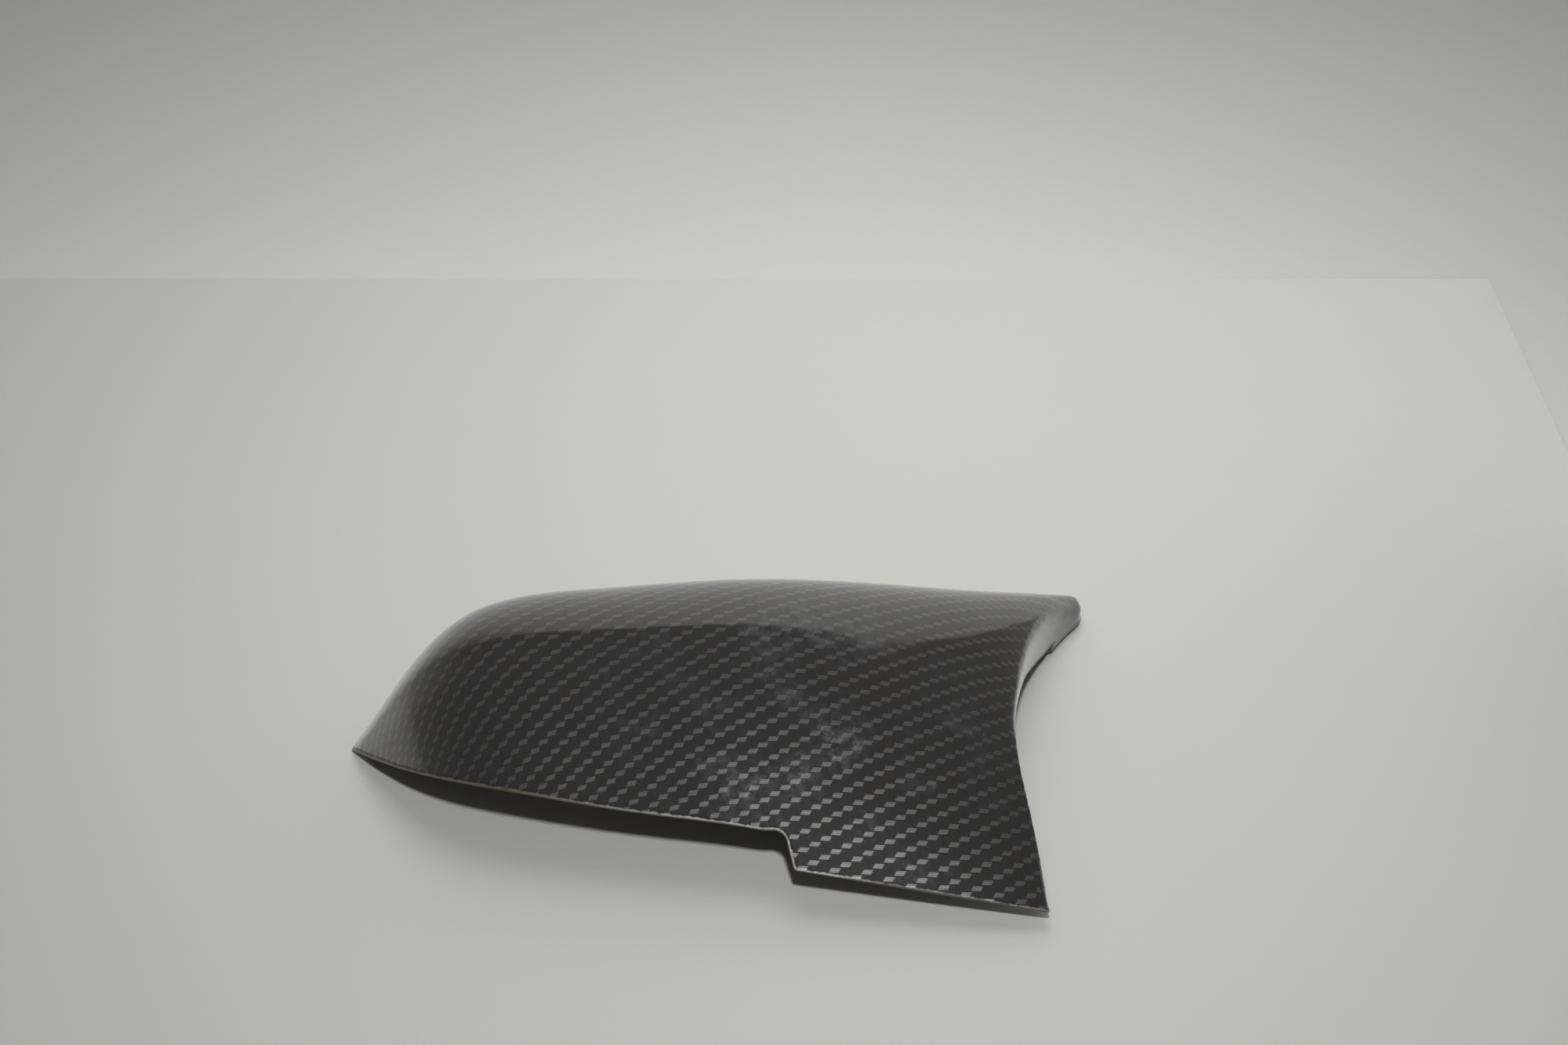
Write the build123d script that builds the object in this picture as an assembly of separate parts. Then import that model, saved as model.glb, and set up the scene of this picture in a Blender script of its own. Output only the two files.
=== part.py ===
from build123d import *
import os
from math import cos, pi, radians, sin

# Wing mirror cover with an inboard horn: one thin moulded shell, lying on its glass-side rim.
# Millimetres. +X runs from the outboard tip to the horn, +Y towards the top of the mirror, +Z outwards.
# While it is drawn, X = Y = 0 is the outboard tip. The finished part is moved to its box centre.

# Driving dimensions of the shell
wall = 2.4                  # moulded wall
cover_length = 240.0        # outboard tip to the end of the horn
crown_height = 57.6         # rim plane to the highest point of the crown
rim_reach = 54.0            # outboard tip to the top rim, across the cover
face_radius = 66.0          # roundness of the face across its middle
face_reach = 72.0           # crown line to the lowest line of the drawn face, across the cover
rim_sink = 10.0             # the top wall leans as if it went on this far below the rim

# Form of the crown, station by station along the length: share of the length, then shares of the
# crown height, the rim reach (crown line and rim line), the face radius and the face reach
stations = (-0.050, -0.003, 0.060, 0.166, 0.333, 0.520, 0.708, 0.854, 0.950, 1.030)
crown_rise = (-0.35, 0.00, 0.41, 0.86, 0.97, 1.00, 0.865, 0.655, 0.35, 0.10)
crown_shift = (0.00, 0.00, 0.00, 0.04, 0.07, 0.10, 0.22, 0.44, 0.91, 1.20)
rim_shift = (0.07, 0.22, 0.46, 0.78, 0.93, 1.00, 1.09, 1.19, 1.35, 1.46)
face_round = (0.08, 0.15, 0.27, 0.65, 0.89, 1.00, 1.48, 2.60, 6.60, 6.60)
face_share = (0.20, 0.26, 0.50, 0.82, 1.00, 1.10, 1.28, 1.46, 1.80, 2.10)
face_points = 6             # points of each section on the face and on the top wall
top_points = 3

# Lower edge of the face, drawn square to the face: along the cover, then down the slope
split_tilt = 40.0           # slope of the face at its lower edge, degrees
split_edge = ((-20.0, 9.0), (0.0, 1.3), (23.0, -8.3), (58.0, -16.6), (92.0, -22.6), (125.0, -27.0))
notch_start = 138.5         # step in the lower edge
notch_top = -28.3
notch_depth = 11.6
notch_slant = 3.0
notch_lead = 6.0            # straight run into the step
notch_round = 4.2
leg_fall = 0.161            # slope of the lower edge beyond the step

# Concave inboard edge and horn, seen square to the rim plane: back from the end of the horn, then across
edge_setback = ((19.7, -90.0), (23.2, -73.6), (28.0, -41.0), (30.6, -22.0), (27.8, 0.0),
                (22.8, 20.0), (17.2, 35.0), (11.2, 47.0), (2.0, 59.5))
horn_setback = ((0.0, 64.0), (2.0, 72.0), (6.0, 90.0))
horn_heading = (-0.3, 1.0)  # direction of the edge past the horn
# Height of that edge over the rim plane, across the cover
inboard_rise = ((-95.0, -5.0), (-73.6, 4.2), (-41.0, 22.0), (-22.0, 27.5), (0.0, 24.5), (20.0, 16.5),
                (36.0, 8.8), (46.5, 6.0))
horn_lift = 2.6             # height of the rim under the horn, past a small step
inboard_round = 2.0         # radius where the face rolls over into the inboard flank
inboard_cover = 45.0        # the edge cut reaches this far back from the end of the horn

# Snap towers: blades with a hook nose, standing on the rim plane
tower_places = ((78.0, -14.0), (150.0, -18.0))
tower_width = 16.0
tower_blade = 2.6
nose_reach = 2.2
nose_height = 6.5
nose_start = 4.9
gusset = 2.0
gusset_depth = 10.0
gusset_start = 20.0

# Catch tongues behind the lower edge: along, across, and height of the free end
tongue_places = ((50.0, -35.0, 27.0), (88.0, -44.0, 26.0), (122.0, -48.0, 25.0), (182.0, -62.0, 13.0))
tongue_width = 11.0
tongue_blade = 2.0

# Stiffening fins inside the top wall
fin_places = (52.0, 92.0, 132.0, 172.0)
fin_blade = 1.6
fin_low = 3.0
fin_root = 14.0             # how far in from the rim its edge starts, and where it meets the crown height
fin_head = 44.0

# Locating peg: back from the end of the horn, then across
peg_setback = (54.0, 8.0)
peg_diameter = 6.0
peg_end = 14.0              # height of its free end over the rim plane
boss_diameter = 12.0
boss_start = 28.0           # height of the shoulder between the peg and its boss

beyond = 130.0              # how far the cutting solids reach past the part

# Places at the inboard end, which move with the length of the cover
inboard_edge = tuple((cover_length - back, across) for back, across in edge_setback)
horn_end = tuple((cover_length - back, across) for back, across in horn_setback)
inboard_start = cover_length - inboard_cover
peg_place = (cover_length - peg_setback[0], peg_setback[1])


def section_points(i):
    """Points of one section of the outer face: a parabola up to the crown, an elliptic wall to the rim."""
    x = stations[i] * cover_length
    crown_y = crown_shift[i] * rim_reach
    crown_z = crown_rise[i] * crown_height
    points = []
    for k in range(face_points):
        drop = face_share[i] * face_reach * (1.0 - k / face_points)
        points.append(Vector(x, crown_y - drop, crown_z - drop**2 / (2.0 * face_round[i] * face_radius)))
    for k in range(top_points + 1):
        turn = k / top_points * pi / 2.0
        y = crown_y + (rim_shift[i] * rim_reach - crown_y) * sin(turn)
        points.append(Vector(x, y, (crown_z + rim_sink) * cos(turn) - rim_sink))
    return points


def skin_through(sections):
    """Smooth face through sections that all have the same number of points."""
    wires = []
    for points in sections:
        spacing = [k / (len(points) - 1) for k in range(len(points))]
        wires.append(Wire([Edge.make_spline(points, parameters=spacing)]))
    return Shell.make_loft(wires).faces()[0]


def skin_inside(skin, sections, depth):
    """The outer face moved inwards by a depth measured square to it, from the outboard tip onwards."""
    crown = sections[len(sections) // 2][face_points]
    inwards = -depth if skin.normal_at(crown).Z > 0 else depth
    moved = []
    for points in sections[1:]:
        row = []
        for point in points:
            square = skin.normal_at(point)
            across = Vector(0, square.Y, square.Z)
            row.append(point + across * (inwards / across.length**2))
        moved.append(row)
    return skin_through(moved)


def inboard_plan():
    """Plan of the cover on the outboard side of its concave inboard edge and horn."""
    edge = Spline(*inboard_edge)
    end = Spline(inboard_edge[-1], *horn_end, tangents=(edge % 1, horn_heading))
    far_corner = (-beyond, horn_end[-1][1])
    near_corner = (-beyond, inboard_edge[0][1])
    close = Polyline(horn_end[-1], far_corner, near_corner, inboard_edge[0])
    return make_face([edge, end, close])


def inset_plan(depth):
    """That plan moved inwards, square to its edge."""
    edge = Spline(*inboard_edge, *horn_end)
    points = []
    for point in inboard_edge + horn_end:
        along = edge.tangent_at(edge.param_at_point(point))
        points.append(Vector(*point) + Vector(-along.Y, along.X) * depth)
    close = Polyline(points[-1], (-beyond, points[-1].Y), (-beyond, points[0].Y), points[0])
    return make_face([Spline(*points), close])


def body_under(skin, plan):
    """Solid below a face and inside a plan, reaching a little below the rim plane."""
    column = Pos(0, 0, -rim_sink) * extrude(plan, amount=beyond, dir=(0, 0, 1))
    return extrude(skin, amount=beyond, dir=(0, 0, -1)) & column


def split_cut():
    """What lies below the lower edge of the face, with its step and leg, cut square to the face."""
    tilt = radians(split_tilt)
    slope = Plane(origin=(0, 0, 0), x_dir=(1, 0, 0), z_dir=(0, -sin(tilt), cos(tilt)))
    corner = (notch_start, notch_top)
    lead_in = (notch_start - notch_lead, notch_top)
    leg_start = (notch_start + notch_slant, notch_top - notch_depth)
    leg_end = (2.0 * cover_length, leg_start[1] - leg_fall * (2.0 * cover_length - leg_start[0]))
    edge = Spline(*split_edge, lead_in)
    notch = FilletPolyline(lead_in, corner, leg_start, radius=notch_round)
    close = Polyline(leg_start, leg_end, (leg_end[0], -beyond), (split_edge[0][0], -beyond), split_edge[0])
    return extrude(slope * make_face([edge, notch, close]), amount=beyond, both=True)


def inboard_cut():
    """What lies below the concave inboard edge, and below the rim of the horn past a small step."""
    edge = Spline(*inboard_rise)
    step_y = inboard_rise[-1][0]
    close = Polyline(inboard_rise[-1], (step_y, horn_lift), (beyond, horn_lift), (beyond, -rim_sink),
                     (inboard_rise[0][0], -rim_sink), inboard_rise[0])
    side = Plane(origin=(inboard_start, 0, 0), x_dir=(0, 1, 0), z_dir=(1, 0, 0))
    return extrude(side * make_face([edge, close]), amount=beyond)


def snap_tower(x, y):
    """Blade with a hook nose and two gussets, up to the crown."""
    half = tower_blade / 2.0
    nose = half + nose_reach
    outline = Polyline((-half, 0), (half, 0), (nose, nose_start), (nose, nose_height), (half, nose_height),
                       (half, crown_height), (-half, crown_height), close=True)
    side = Plane(origin=(x - tower_width / 2.0, y, 0), x_dir=(0, 1, 0), z_dir=(1, 0, 0))
    tower = extrude(side * make_face(outline), amount=tower_width)
    for end in (-1, 1):
        place = Pos(x + end * (tower_width - gusset) / 2.0, y, gusset_start)
        rib = Box(gusset, gusset_depth, crown_height, align=(Align.CENTER, Align.CENTER, Align.MIN))
        tower += place * rib
    return tower


def catch_tongue(x, y, low):
    """Short plate behind the lower edge."""
    plate = Box(tongue_width, tongue_blade, crown_height, align=(Align.CENTER, Align.CENTER, Align.MIN))
    return Pos(x, y, low) * plate


def rim_at(x):
    """Distance of the top rim across the cover, at a place along it."""
    share = x / cover_length
    for i in range(len(stations) - 1):
        if stations[i] <= share <= stations[i + 1]:
            part = (share - stations[i]) / (stations[i + 1] - stations[i])
            return rim_reach * (rim_shift[i] + part * (rim_shift[i + 1] - rim_shift[i]))


def wall_fin(x):
    """Fin with a slanting inner edge against the top wall."""
    rim = rim_at(x)
    outline = Polyline((rim - fin_root, fin_low), (rim, fin_low), (rim, crown_height),
                       (rim - fin_head, crown_height), close=True)
    side = Plane(origin=(x - fin_blade / 2.0, 0, 0), x_dir=(0, 1, 0), z_dir=(1, 0, 0))
    return extrude(side * make_face(outline), amount=fin_blade)


def locating_peg():
    """Round peg on a thicker boss."""
    low = (Align.CENTER, Align.CENTER, Align.MIN)
    peg = Pos(*peg_place, peg_end) * Cylinder(peg_diameter / 2.0, crown_height, align=low)
    boss = Pos(*peg_place, boss_start) * Cylinder(boss_diameter / 2.0, crown_height, align=low)
    return peg + boss


def mirror_cover():
    """The shell with its flank and everything moulded on its inside."""
    sections = [section_points(i) for i in range(len(stations))]
    skin = skin_through(sections)
    column = extrude(inboard_plan(), amount=beyond, dir=(0, 0, 1))
    form = extrude(skin, amount=beyond, dir=(0, 0, -1)) & column
    inboard = form.edges().filter_by(lambda edge: edge.center().X > inboard_start)
    ridge = inboard.filter_by(lambda edge: edge.center().Z > rim_sink / 2.0 and edge.length > rim_sink)
    form = fillet(ridge, inboard_round)
    shell = form - body_under(skin_inside(skin, sections, wall), inset_plan(wall))
    shell -= split_cut()
    shell -= inboard_cut()
    core = body_under(skin_inside(skin, sections, wall / 2.0), inset_plan(wall / 2.0))
    moulded = [snap_tower(*place) for place in tower_places]
    moulded += [catch_tongue(*place) for place in tongue_places]
    moulded += [wall_fin(x) for x in fin_places]
    moulded.append(locating_peg())
    for detail in moulded:
        shell += core & detail
    box = shell.bounding_box()
    return Pos(-box.center().X, -box.center().Y, -box.min.Z) * shell


os.makedirs("parts", exist_ok=True)
export_step(mirror_cover().solid(), "parts/mirror_cover.step")
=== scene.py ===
import math

import bmesh
import bpy
import numpy as np
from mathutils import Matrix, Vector
from mathutils.kdtree import KDTree


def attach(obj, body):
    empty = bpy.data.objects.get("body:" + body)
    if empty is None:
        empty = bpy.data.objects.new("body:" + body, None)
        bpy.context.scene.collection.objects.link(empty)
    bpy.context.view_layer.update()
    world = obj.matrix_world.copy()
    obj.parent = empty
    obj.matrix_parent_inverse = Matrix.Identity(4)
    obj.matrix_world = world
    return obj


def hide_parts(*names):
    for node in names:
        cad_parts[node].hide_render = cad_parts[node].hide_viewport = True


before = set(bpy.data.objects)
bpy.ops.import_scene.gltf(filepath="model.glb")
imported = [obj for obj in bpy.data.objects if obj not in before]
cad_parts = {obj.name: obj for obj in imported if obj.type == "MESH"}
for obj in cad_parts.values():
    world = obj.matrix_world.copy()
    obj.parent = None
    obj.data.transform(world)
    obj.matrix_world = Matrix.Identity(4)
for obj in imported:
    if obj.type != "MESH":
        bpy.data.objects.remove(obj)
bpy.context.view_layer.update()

# The cover lies open side down on a pale table. Lengths are in metres, in the CAD frame.
MM = 0.001

# Camera of the photograph
CAMERA_PLACE = (18.77 * MM, -530.74 * MM, 511.0 * MM)
CAMERA_PITCH = math.radians(51.9)
CAMERA_LENS = 52.52
SENSOR_WIDTH = 36.0
CLIP_START = 0.01

# Stage: the table's far and right edges, the light cards that stand on them, and the floor below
TABLE_FAR = 0.286
TABLE_RIGHT = 0.314
CARD_HIGH = 0.55
BACK_CARD_LEFT = -1.2
SIDE_CARD_NEAR = 0.09
FLOOR_HALF = 6.0
FLOOR_DROP = 3.0 * MM

# Skin: distance that joins its points, bend that ends it, longest edge on it
WELD = 1e-6
SKIN_BEND = math.radians(28)
SKIN_EDGE = 2.4 * MM
SHARP_BEND = math.radians(38)
SMOOTHING = 0.5

# Cut edge of the skin: points along it, band that is made finer, band that is rounded
RIM_STEP = 0.5 * MM
RIM_BAND = 1.5 * MM
RIM_ROUND = 0.6 * RIM_BAND
RIM_EDGE = 0.7 * MM
RIM_PASSES = 4
TINY_EDGE = 0.002 * MM

# Roll-over from the face to the inboard flank: wider toward the far corner than at the near leg
RIDGE_X = 0.075
RIDGE_BEND = math.radians(9)
RIDGE_OFF_RIM = 2.5 * MM
RIDGE_KEPT_RIM = 1.0 * MM
RIDGE_EDGE = 1.5 * MM
RIDGE_FINE = 1.3
RIDGE_NEAR = 2.5 * MM
RIDGE_FAR = 8.0 * MM
RIDGE_RUN = 0.07
RIDGE_PASSES = 24

# Flank: upward part of the normal at which it starts, and over which it is reached
FLANK_START = 0.62
FLANK_RUN = 0.4

# Flat layout: rounds of the unwrap, and the middle of the face that sets its scale and turn
UNWRAP_ROUNDS = 20
MIDDLE_X = 0.03
MIDDLE_Y = (-0.045, -0.005)

# Weave: one cell in three is light, columns along the cover and rows across it
COLUMN = 3.2 * MM
ROW = 1.8 * MM
WEAVE_TURN = math.radians(5.0)
WEAVE_REPEAT = 3.0
WEAVE_LEAN = 0.3
THREADS = 3.0

# Haze from handling, and the painted flash highlight in it, lie round this place on the face
HAZE_HIGHLIGHT_X = 0.026
HAZE_HIGHLIGHT_Y = -0.035

# Colours, as pairs where a noise runs from one to the other
CLOTH_DARK = ((0.012, 0.011, 0.0122), (0.026, 0.0245, 0.024))
CLOTH_LIGHT = ((0.098, 0.098, 0.1), (0.12, 0.119, 0.115))
# Worn-edge colours are painted light: an olive tint of warm room light, a painted glint, and a darker tone
# inboard
EDGE_WARM_LIGHT = (0.115, 0.108, 0.075)
EDGE_GLINT = (0.42, 0.41, 0.39)
EDGE_DARK = (0.13, 0.127, 0.12)
# Bluish-white of the haze: a painted flash highlight on the smudged coat
HAZE_HIGHLIGHT = (0.2, 0.215, 0.24)
DUST = (0.6, 0.6, 0.62)
# Inside: dark plastic whose olive tint and lightness are painted warm fill light for the shade under the near
# edge
INNER_WARM_LIT = ((0.046, 0.042, 0.029), (0.08, 0.074, 0.055))
TABLE = ((0.565, 0.565, 0.542), (0.60, 0.60, 0.582))
FLOOR = ((0.77, 0.77, 0.74), (0.82, 0.82, 0.795))
ROOM = (0.12, 0.118, 0.112, 1.0)


def smooth_region(seed, bend):
    """Faces reached from a face without crossing an edge that bends by more than an angle."""
    found = {seed}
    stack = [seed]
    while stack:
        face = stack.pop()
        for edge in face.edges:
            if edge.calc_face_angle(math.pi) > bend:
                continue
            for other in edge.link_faces:
                if other not in found:
                    found.add(other)
                    stack.append(other)
    return found


def lay_flat(skin):
    """Unrolls the skin onto a plane with as little stretch as it allows: a place in metres per vertex."""
    verts = sorted({vert for face in skin for vert in face.verts}, key=lambda vert: vert.index)
    row = {vert.index: number for number, vert in enumerate(verts)}
    mesh = bpy.data.meshes.new("flat")
    corners = [[row[vert.index] for vert in face.verts] for face in skin]
    mesh.from_pydata([vert.co for vert in verts], [], corners)
    sheet = bpy.data.objects.new("flat", mesh)
    bpy.context.scene.collection.objects.link(sheet)
    bpy.context.view_layer.objects.active = sheet
    sheet.select_set(True)
    bpy.ops.object.mode_set(mode="EDIT")
    bpy.ops.mesh.select_all(action="SELECT")
    bpy.ops.uv.unwrap(method="MINIMUM_STRETCH", iterations=UNWRAP_ROUNDS, no_flip=True,
                      fill_holes=False, margin=0.0)
    bpy.ops.object.mode_set(mode="OBJECT")
    loops = len(mesh.loops)
    flat = np.zeros(loops * 2, np.float32)
    mesh.uv_layers.active.data.foreach_get("uv", flat)
    place = np.array([vert.co for vert in verts])
    owner = np.zeros(loops, np.int32)
    mesh.loops.foreach_get("vertex_index", owner)
    uv = np.zeros((len(verts), 2))
    uv[owner] = flat.reshape(-1, 2)
    bpy.data.objects.remove(sheet)
    bpy.data.meshes.remove(mesh)

    # Fit on the middle of the face: the sheet's own scale, turn and hand against the length of the cover
    near = (abs(place[:, 0]) < MIDDLE_X) & (place[:, 1] > MIDDLE_Y[0]) & (place[:, 1] < MIDDLE_Y[1])
    middle = place[near]
    side = np.c_[middle[:, 0], middle[:, 1], np.ones(near.sum())]
    along = np.linalg.lstsq(side, uv[near], rcond=None)[0][0]
    scale = np.linalg.norm(along)
    axis = along / scale
    up = np.array([-axis[1], axis[0]])
    centre = uv[near].mean(0)
    u = (uv - centre) @ axis / scale
    v = (uv - centre) @ up / scale
    if np.polyfit(middle[:, 1], v[near], 1)[0] < 0:
        v = -v
    return {vert.index: (u[row[vert.index]], v[row[vert.index]]) for vert in verts}


def split_long(bm, edges):
    """Splits edges in the middle and lifts the new points onto the curve that the end normals set."""
    normal = bm.verts.layers.float_vector["normal"]
    lift = {}
    for edge in edges:
        a, b = edge.verts
        if a[normal].length < 0.5 or b[normal].length < 0.5:
            continue
        span = b.co - a.co
        shift = -(span.dot(a[normal]) * a[normal] - span.dot(b[normal]) * b[normal]) / 8
        lift[((a.co + b.co) / 2).to_tuple(7)] = shift
    made = bmesh.ops.subdivide_edges(bm, edges=edges, cuts=1)
    for item in made["geom_inner"]:
        if isinstance(item, bmesh.types.BMVert):
            shift = lift.get(item.co.to_tuple(7))
            if shift is not None:
                item.co += shift
            if item[normal].length > 0.5:
                item[normal] = item[normal].normalized()
    bmesh.ops.triangulate(bm, faces=[face for face in bm.faces if len(face.verts) > 3])


def cut_edges(bm, mark):
    """Edges between the skin and the rest."""
    return [e for e in bm.edges if e.link_faces[0][mark] != e.link_faces[1][mark]]


def rim_tree(bm, mark):
    """Search tree of points along the cut edge of the skin."""
    points = []
    for edge in cut_edges(bm, mark):
        a, b = edge.verts[0].co, edge.verts[1].co
        steps = max(1, int((b - a).length / RIM_STEP))
        points += [a.lerp(b, k / steps) for k in range(steps + 1)]
    return point_tree(points)


def point_tree(points):
    """Search tree of places."""
    tree = KDTree(len(points))
    for number, point in enumerate(points):
        tree.insert(point, number)
    tree.balance()
    return tree


def ridge_reach(y):
    """Half width of the roll-over at a place along the inboard edge."""
    share = min(1.0, max(0.0, (y + RIDGE_RUN) / RIDGE_RUN))
    return RIDGE_NEAR + (RIDGE_FAR - RIDGE_NEAR) * share


def smooth(bm, verts, passes):
    """Draws points toward the middle of their neighbours."""
    for _ in range(passes):
        bmesh.ops.smooth_vert(bm, verts=verts, factor=SMOOTHING, use_axis_x=True, use_axis_y=True,
                              use_axis_z=True)


def round_ridge(bm, mark, rim):
    """Widens the roll-over of the inboard flank."""
    exact = bm.verts.layers.float_vector["normal"]
    bends = []
    for edge in bm.edges:
        if all(face[mark] for face in edge.link_faces) and edge.calc_face_angle(0) > RIDGE_BEND:
            middle = (edge.verts[0].co + edge.verts[1].co) / 2
            if middle.x > RIDGE_X and rim.find(middle)[2] > RIDGE_OFF_RIM:
                bends.append(middle)
    ridge = point_tree(bends)
    for _ in range(2):
        long = []
        for edge in bm.edges:
            middle = (edge.verts[0].co + edge.verts[1].co) / 2
            if edge.calc_length() > RIDGE_EDGE and all(face[mark] for face in edge.link_faces):
                if ridge.find(middle)[2] < RIDGE_FINE * ridge_reach(middle.y):
                    long.append(edge)
        split_long(bm, long)
    band = []
    for vert in bm.verts:
        if all(face[mark] for face in vert.link_faces) and rim.find(vert.co)[2] > RIDGE_KEPT_RIM:
            if ridge.find(vert.co)[2] < ridge_reach(vert.co.y):
                band.append(vert)
    smooth(bm, band, RIDGE_PASSES)
    for vert in band:
        vert[exact] = Vector((0, 0, 0))


def shell_mesh(node):
    """The CAD node's mesh with a finer skin, a rounded cut edge, a flat layout and the way to the edge."""
    source = node.data
    bm = bmesh.new()
    bm.from_mesh(source)
    # All layers are made before any is used, because a new one makes the handles before it stale
    mark = bm.faces.layers.int.new("skin")
    bm.verts.layers.float.new("rim_mm")
    bm.verts.layers.float.new("flank")
    bm.verts.layers.float_vector.new("layout")
    bm.verts.layers.float_vector.new("normal")
    weave = bm.loops.layers.uv.new("weave")
    rim = bm.verts.layers.float["rim_mm"]
    flank = bm.verts.layers.float["flank"]
    layout = bm.verts.layers.float_vector["layout"]
    exact = bm.verts.layers.float_vector["normal"]
    corner = [None] * len(source.vertices)
    for loop in source.loops:
        corner[loop.vertex_index] = source.corner_normals[loop.index].vector
    for vert in bm.verts:
        vert[exact] = corner[vert.index]
    side = {}
    for face in bm.faces:
        for vert in face.verts:
            side.setdefault(vert.co.to_tuple(6), []).append((face.calc_center_median(), vert[exact].copy()))
    bmesh.ops.remove_doubles(bm, verts=bm.verts, dist=WELD)
    bm.verts.index_update()
    bm.faces.index_update()
    crown = max(bm.faces, key=lambda face: face.calc_center_median().z)
    skin = smooth_region(crown, SKIN_BEND)
    for face in bm.faces:
        face[mark] = 1 if face in skin else 0
        face.smooth = True
    place = lay_flat(sorted(skin, key=lambda face: face.index))
    for vert in bm.verts:
        inside = [face for face in vert.link_faces if face[mark]]
        if inside:
            vert[layout] = Vector((*place[vert.index], 0))
            near = side.get(vert.co.to_tuple(6), [])
            centres = [face.calc_center_median() for face in inside]
            best = min(near, key=lambda pair: min((pair[0] - c).length for c in centres), default=None)
            vert[exact] = best[1] if best else Vector((0, 0, 0))
        else:
            vert[exact] = Vector((0, 0, 0))

    # Finer skin, finest along its cut edge
    for _ in range(2):
        long = [e for e in bm.edges if e.calc_length() > SKIN_EDGE and any(f[mark] for f in e.link_faces)]
        split_long(bm, long)
    tree = rim_tree(bm, mark)
    round_ridge(bm, mark, tree)
    for _ in range(3):
        long = []
        for edge in bm.edges:
            if edge.calc_length() > RIM_EDGE:
                if min(tree.find(vert.co)[2] for vert in edge.verts) < RIM_BAND:
                    long.append(edge)
        split_long(bm, long)

    # Round the cut edge
    bmesh.ops.dissolve_degenerate(bm, dist=TINY_EDGE, edges=bm.edges)
    bmesh.ops.triangulate(bm, faces=[face for face in bm.faces if len(face.verts) > 3])
    band = [vert for vert in bm.verts if tree.find(vert.co)[2] < RIM_ROUND]
    smooth(bm, band, RIM_PASSES)
    for vert in bm.verts:
        gap = tree.find(vert.co)[2]
        vert[rim] = gap / MM
        if gap < RIM_BAND:
            vert[exact] = Vector((0, 0, 0))

    turn_c, turn_s = math.cos(WEAVE_TURN), math.sin(WEAVE_TURN)
    for face in bm.faces:
        face.material_index = 0 if face[mark] else 1
        for loop in face.loops:
            u, v = loop.vert[layout][:2] if face[mark] else loop.vert.co[:2]
            loop[weave].uv = ((u * turn_c + v * turn_s) / COLUMN, (v * turn_c - u * turn_s) / ROW)
    bm.normal_update()
    for vert in bm.verts:
        steep = min(1.0, max(0.0, (FLANK_START - vert.normal.z) / FLANK_RUN))
        vert[flank] = steep if vert.co.x > RIDGE_X and vert.normal.x > 0 else 0.0
    for edge in bm.edges:
        edge.smooth = edge.calc_face_angle(0) < SHARP_BEND
    return bm


def finish_mesh(bm, name):
    """Mesh object with the CAD's own normals where the skin was only made finer."""
    exact = bm.verts.layers.float_vector["normal"]
    stored = [vert[exact].copy() for vert in bm.verts]
    mesh = bpy.data.meshes.new(name)
    bm.to_mesh(mesh)
    bm.free()
    mesh.validate()
    given = [(0.0, 0.0, 0.0)] * len(mesh.loops)
    for face in mesh.polygons:
        if face.material_index == 0:
            for loop in face.loop_indices:
                given[loop] = tuple(stored[mesh.loops[loop].vertex_index])
    mesh.normals_split_custom_set(given)
    for layer in ("normal", "layout", "skin"):
        mesh.attributes.remove(mesh.attributes[layer])
    piece = bpy.data.objects.new(name, mesh)
    bpy.context.scene.collection.objects.link(piece)
    return piece


class Nodes:
    """Shorthand for a material's node tree."""

    def __init__(self, name):
        self.material = bpy.data.materials.new(name)
        self.material.use_nodes = True
        self.tree = self.material.node_tree
        self.shader = self.tree.nodes["Principled BSDF"]

    def put(self, socket, value):
        if isinstance(value, bpy.types.NodeSocket):
            self.tree.links.new(value, socket)
        else:
            socket.default_value = value

    def math(self, kind, a, b=0.0, c=0.0):
        node = self.tree.nodes.new("ShaderNodeMath")
        node.operation = kind
        for socket, value in zip(node.inputs, (a, b, c)):
            self.put(socket, value)
        return node.outputs[0]

    def ramp(self, value, low, high, out_low=0.0, out_high=1.0):
        node = self.tree.nodes.new("ShaderNodeMapRange")
        node.interpolation_type = "SMOOTHSTEP"
        for name, item in zip(("Value", "From Min", "From Max", "To Min", "To Max"),
                              (value, low, high, out_low, out_high)):
            self.put(node.inputs[name], item)
        return node.outputs["Result"]

    def blend(self, factor, a, b):
        node = self.tree.nodes.new("ShaderNodeMix")
        node.data_type = "RGBA"
        self.put(node.inputs[0], factor)
        self.put(node.inputs[6], (*a, 1.0) if isinstance(a, tuple) else a)
        self.put(node.inputs[7], (*b, 1.0) if isinstance(b, tuple) else b)
        return node.outputs[2]

    def noise(self, vector, scale, detail=3.0, rough=0.5):
        node = self.tree.nodes.new("ShaderNodeTexNoise")
        self.put(node.inputs["Vector"], vector)
        node.inputs["Scale"].default_value = scale
        node.inputs["Detail"].default_value = detail
        node.inputs["Roughness"].default_value = rough
        return node.outputs[0]

    def place(self):
        return self.tree.nodes.new("ShaderNodeTexCoord").outputs["Object"]

    def spread(self, vector):
        node = self.tree.nodes.new("ShaderNodeSeparateXYZ")
        self.put(node.inputs[0], vector)
        return node.outputs[0], node.outputs[1], node.outputs[2]

    def join(self, x, y, z=0.0):
        node = self.tree.nodes.new("ShaderNodeCombineXYZ")
        for socket, value in zip(node.inputs, (x, y, z)):
            self.put(socket, value)
        return node.outputs[0]

    def bump(self, height, strength, distance):
        node = self.tree.nodes.new("ShaderNodeBump")
        self.put(node.inputs["Height"], height)
        node.inputs["Strength"].default_value = strength
        node.inputs["Distance"].default_value = distance
        return node.outputs[0]

    def set(self, **values):
        for name, value in values.items():
            socket = self.shader.inputs[name.replace("_", " ")]
            self.put(socket, (*value, 1.0) if isinstance(value, tuple) and len(value) == 3 else value)


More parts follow.
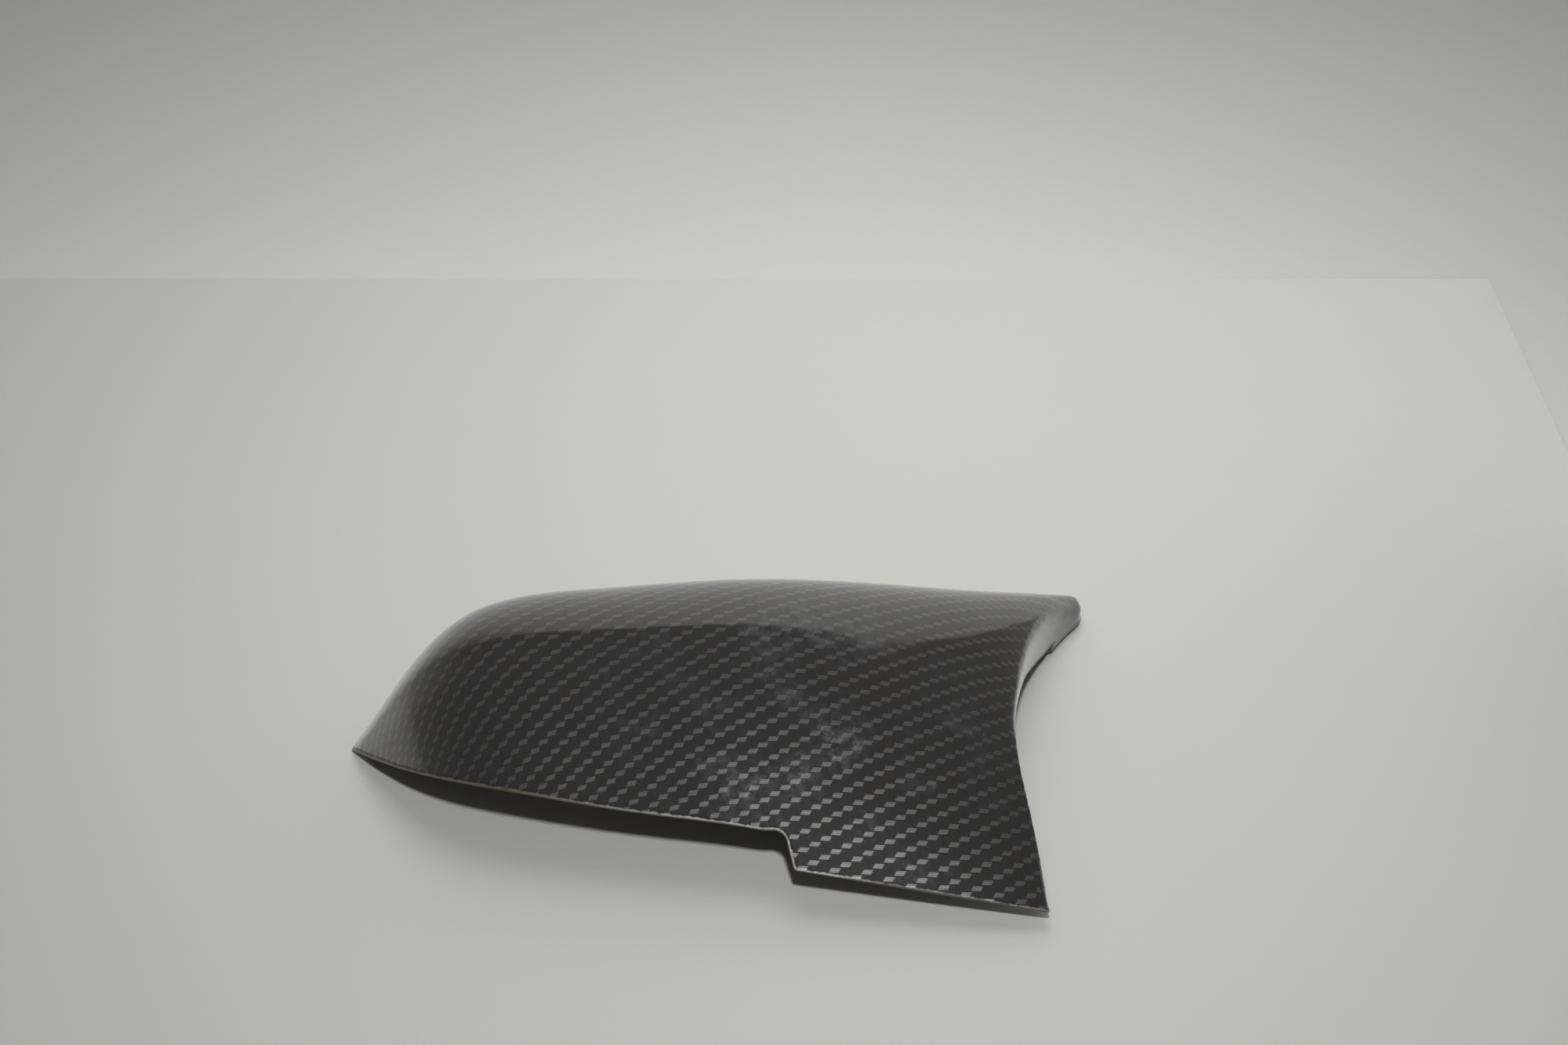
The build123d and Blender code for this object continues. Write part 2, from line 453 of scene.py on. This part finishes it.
def carbon_skin():
    """Woven look under a clear coat, with a worn edge whose colour is painted light, handling haze that
    carries a painted flash highlight, and dust.
    """
    n = Nodes("carbon_skin")
    sheet = n.tree.nodes.new("ShaderNodeUVMap")
    sheet.uv_map = "weave"
    u, v = n.spread(sheet.outputs[0])[:2]
    row = n.math("FLOOR", v)
    across = n.math("FRACT", v)
    lean = n.math("SUBTRACT", u, n.math("MULTIPLY", n.math("SUBTRACT", across, 0.5), WEAVE_LEAN))
    column = n.math("FLOOR", lean)
    along = n.math("FRACT", lean)
    diagonal = n.math("ADD", n.math("SUBTRACT", column, row), 0.5)
    step = n.math("FRACT", n.math("DIVIDE", diagonal, WEAVE_REPEAT))
    float_cell = n.math("LESS_THAN", step, 1.0 / WEAVE_REPEAT)
    end_a = n.ramp(n.math("MINIMUM", along, n.math("SUBTRACT", 1.0, along)), 0.01, 0.1)
    end_b = n.ramp(n.math("MINIMUM", across, n.math("SUBTRACT", 1.0, across)), 0.07, 0.2)
    thread = n.math("COSINE", n.math("MULTIPLY", across, THREADS * 2.0 * math.pi))
    thread = n.math("MULTIPLY_ADD", thread, -0.22, 0.78)
    fibre = n.noise(n.join(n.math("MULTIPLY", u, 0.7), n.math("MULTIPLY", v, 7.0)), 1.0, 3.0, 0.6)
    fibre = n.ramp(fibre, 0.3, 0.7, 0.72, 1.2)
    body = n.math("MULTIPLY", n.math("MULTIPLY", end_a, end_b), float_cell)
    turned = n.tree.nodes.new("ShaderNodeAttribute")
    turned.attribute_name = "flank"
    shown = n.math("MULTIPLY_ADD", turned.outputs["Fac"], -0.85, 1.0)
    light = n.math("MULTIPLY", n.math("MULTIPLY", n.math("MULTIPLY", body, thread), fibre), shown)
    under = n.noise(n.join(n.math("MULTIPLY", u, 5.0), n.math("MULTIPLY", v, 0.5)), 1.0, 2.0, 0.5)
    dark = n.blend(under, *CLOTH_DARK)
    tint = n.blend(n.noise(n.place(), 18.0, 2.0), *CLOTH_LIGHT)
    colour = n.blend(light, dark, tint)

    # Worn edge: the clear coat is gone, with chips. Its colour along the cover is painted light: an olive tint
    # of warm room light outboard, a painted glint at the notch, darker inboard
    x, y = n.spread(n.place())[:2]
    gap = n.tree.nodes.new("ShaderNodeAttribute")
    gap.attribute_name = "rim_mm"
    chips = n.noise(n.place(), 420.0, 4.0, 0.65)
    reach = n.math("MULTIPLY_ADD", chips, 1.5, -0.1)
    worn = n.ramp(n.math("SUBTRACT", gap.outputs["Fac"], reach), -0.25, 0.25, 1.0, 0.0)
    # Painted light on the worn edge, set by place along the cover
    edge_painted_light = n.blend(n.ramp(x, -0.07, 0.02), EDGE_WARM_LIGHT, EDGE_GLINT)
    edge_painted_light = n.blend(n.ramp(x, 0.03, 0.05), edge_painted_light, EDGE_DARK)
    colour = n.blend(worn, colour, edge_painted_light)

    # Handling haze and dust on the coat; the haze's bluish-white colour is a painted flash highlight, its coat
    # roughness is real smudge
    blot = n.math("MULTIPLY", n.ramp(n.noise(n.place(), 48.0, 3.0, 0.6), 0.45, 0.72),
                  n.ramp(n.noise(n.place(), 330.0, 5.0, 0.7), 0.38, 0.66))
    far = n.math("SQRT", n.math("ADD", n.math("POWER", n.math("SUBTRACT", x, HAZE_HIGHLIGHT_X), 2.0),
                                n.math("POWER", n.math("SUBTRACT", y, HAZE_HIGHLIGHT_Y), 2.0)))
    haze_and_highlight = n.math("MULTIPLY", blot, n.ramp(far, 0.015, 0.075, 1.0, 0.0))
    # Painted flash highlight: bluish-white blended in where the haze lies
    colour = n.blend(n.math("MULTIPLY", haze_and_highlight, 0.3), colour, HAZE_HIGHLIGHT)
    motes = n.tree.nodes.new("ShaderNodeTexVoronoi")
    motes.inputs["Scale"].default_value = 150.0
    n.put(motes.inputs["Vector"], n.place())
    rare = n.math("GREATER_THAN", n.noise(n.place(), 95.0, 1.0), 0.63)
    mote = n.math("MULTIPLY", n.ramp(motes.outputs["Distance"], 0.03, 0.06, 1.0, 0.0), rare)
    colour = n.blend(n.math("MULTIPLY", mote, 0.7), colour, DUST)

    n.set(Base_Color=colour)
    n.set(Metallic=n.math("MULTIPLY", n.math("MULTIPLY", light, 0.93),
                          n.math("SUBTRACT", 1.0, worn)))
    n.set(Roughness=0.46)
    n.set(Specular_IOR_Level=n.math("MULTIPLY_ADD", worn, 0.1, 0.06))
    thread_way = n.tree.nodes.new("ShaderNodeTangent")
    thread_way.direction_type = "UV_MAP"
    thread_way.uv_map = "weave"
    n.set(Anisotropic=0.5, Anisotropic_Rotation=0.25, Tangent=thread_way.outputs[0])
    n.set(Coat_Weight=n.ramp(gap.outputs["Fac"], 0.9, 1.7))
    n.set(Coat_Roughness=n.math("MULTIPLY_ADD", haze_and_highlight, 0.25, 0.10))
    n.set(Coat_IOR=1.68)
    n.set(Sheen_Weight=0.24)
    n.set(Sheen_Roughness=0.45)
    n.set(Normal=n.bump(n.math("ADD", body, n.math("MULTIPLY", fibre, 0.2)), 0.12, 0.00008))
    return n.material


def inner_plastic():
    """Bare grained plastic of the inside and the cut edge; its olive tint and raised lightness are painted
    warm fill light for the shade under the near edge.
    """
    n = Nodes("inner_plastic")
    broad = n.noise(n.place(), 25.0, 4.0)
    grain = n.noise(n.place(), 2200.0, 2.0)
    n.set(Base_Color=n.blend(broad, *INNER_WARM_LIT))
    n.set(Roughness=n.ramp(broad, 0.3, 0.7, 0.42, 0.6))
    n.set(Normal=n.bump(grain, 0.25, 0.00006))
    return n.material


def pale_matt(name, scale, colours):
    """Matt surface of the stage, a little cloudy."""
    n = Nodes(name)
    cloud = n.noise(n.place(), scale, 3.0)
    n.set(Base_Color=n.blend(cloud, *colours))
    n.set(Roughness=0.8)
    n.set(Specular_IOR_Level=0.05)
    return n.material


def level_corners(x0, y0, x1, y1, z):
    """Corners of a level panel."""
    return [(x0, y0, z), (x1, y0, z), (x1, y1, z), (x0, y1, z)]


def upright_corners(x0, y0, x1, y1, high):
    """Corners of a panel that stands on the table."""
    return [(x0, y0, 0), (x1, y1, 0), (x1, y1, high), (x0, y0, high)]


def panel(name, corners, material, card=False, mirrored=True):
    """A flat piece of the stage; a card only sends light back and hides nothing from any side."""
    mesh = bpy.data.meshes.new(name)
    mesh.from_pydata(corners, [], [(0, 1, 2, 3)])
    piece = bpy.data.objects.new(name, mesh)
    piece.data.materials.append(material)
    bpy.context.scene.collection.objects.link(piece)
    piece.visible_camera = not card
    piece.visible_shadow = not card
    piece.visible_glossy = mirrored


def soft_light(name, place, target, size, energy, spread, glint):
    """A round lamp that either lights the scene or, as a glint, is only mirrored in it."""
    data = bpy.data.lights.new(name, "AREA")
    data.shape = "DISK"
    data.size = size
    data.energy = energy
    data.spread = math.radians(spread)
    lamp = bpy.data.objects.new(name, data)
    lamp.location = place
    lamp.rotation_euler = (Vector(target) - lamp.location).to_track_quat("-Z", "Y").to_euler()
    lamp.visible_camera = False
    lamp.visible_glossy = glint
    lamp.visible_diffuse = not glint
    bpy.context.scene.collection.objects.link(lamp)


cover = finish_mesh(shell_mesh(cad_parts["mirror_cover"]), "cover_shell")
cover.data.materials.append(carbon_skin())
cover.data.materials.append(inner_plastic())
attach(cover, "root")
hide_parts("mirror_cover")

table_look = pale_matt("table_white", 3.0, TABLE)
floor_look = pale_matt("floor_white", 2.0, FLOOR)
panel("table", level_corners(-FLOOR_HALF, -FLOOR_HALF, TABLE_RIGHT, TABLE_FAR, 0), table_look)
panel("floor", level_corners(-FLOOR_HALF, -FLOOR_HALF, FLOOR_HALF, FLOOR_HALF, -FLOOR_DROP), floor_look)
panel("back_card", upright_corners(BACK_CARD_LEFT, TABLE_FAR, TABLE_RIGHT, TABLE_FAR, CARD_HIGH), floor_look,
      card=True)
panel("side_card", upright_corners(TABLE_RIGHT, SIDE_CARD_NEAR, TABLE_RIGHT, TABLE_FAR, CARD_HIGH), floor_look,
      card=True, mirrored=False)

soft_light("flash", place=(0.038, -0.438, 0.629), target=(0.06, 0.30, 0.10),
           size=0.04, energy=1.95, spread=130, glint=False)
soft_light("back_lamp", place=(0.05, 0.11, 0.72), target=(0.05, TABLE_FAR, 0.18),
           size=0.5, energy=0.82, spread=110, glint=False)
soft_light("sheen_lamp", place=(0.22, -0.90, 0.54), target=(0.04, -0.04, 0.03),
           size=0.25, energy=1.45, spread=60, glint=True)

world = bpy.data.worlds.new("room")
world.use_nodes = True
backdrop = world.node_tree.nodes["Background"]
backdrop.inputs["Color"].default_value = ROOM
backdrop.inputs["Strength"].default_value = 1.0
bpy.context.scene.world = world

camera_data = bpy.data.cameras.new("camera")
camera_data.lens = CAMERA_LENS
camera_data.sensor_width = SENSOR_WIDTH
camera_data.sensor_fit = "HORIZONTAL"
camera_data.dof.use_dof = False
camera_data.clip_start = CLIP_START
camera = bpy.data.objects.new("camera", camera_data)
camera.location = CAMERA_PLACE
camera.rotation_euler = (CAMERA_PITCH, 0, 0)
bpy.context.scene.collection.objects.link(camera)
bpy.context.scene.camera = camera
bpy.context.scene.view_settings.view_transform = "Standard"
